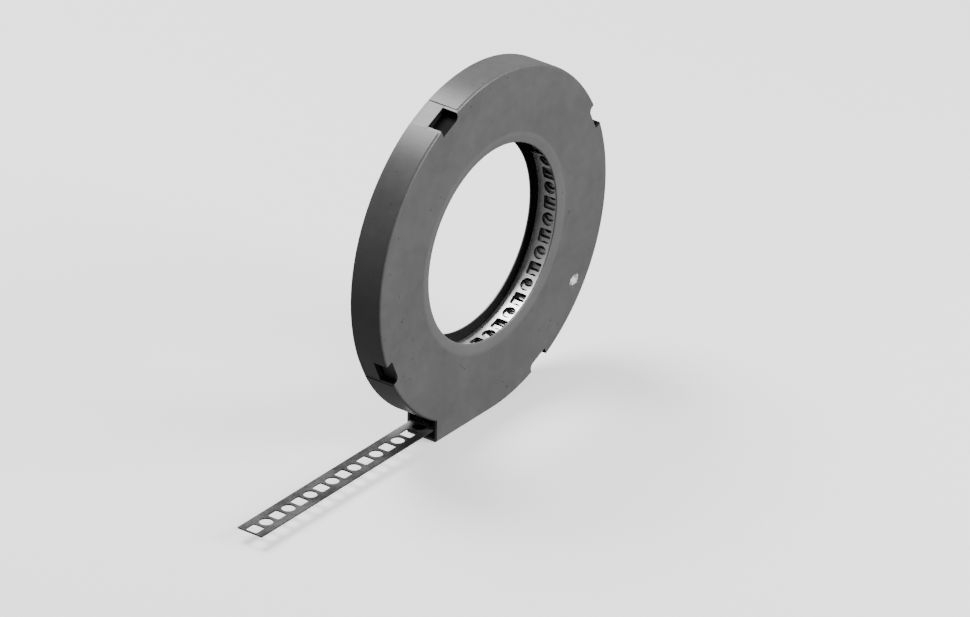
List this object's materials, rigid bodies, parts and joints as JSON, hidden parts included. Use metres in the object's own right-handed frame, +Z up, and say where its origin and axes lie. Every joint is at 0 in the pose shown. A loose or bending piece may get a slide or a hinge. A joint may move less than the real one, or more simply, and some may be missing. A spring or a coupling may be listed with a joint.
{
  "type": "perforated steel strap in a dispenser case",
  "caption": "Perforated steel strap with square and round holes in turn, coiled in a flat ring-shaped plastic case with a mouth that pays it out.",
  "frame": {"origin": "on the axis of the case's central hole, half way through the case", "axes": "+Z up, Y along the ring's axis with the front face at -Y, the strap leaves towards -X"},
  "size_m": [0.312, 0.021, 0.21],
  "materials": {
    "case_plastic": "moulded dark grey plastic, fine satin",
    "strap_steel": "galvanised steel strip"
  },
  "bodies": {
    "root": {"front_shell": "case_plastic", "back_shell": "case_plastic", "perforated_strap": "strap_steel"}
  },
  "joints": []
}
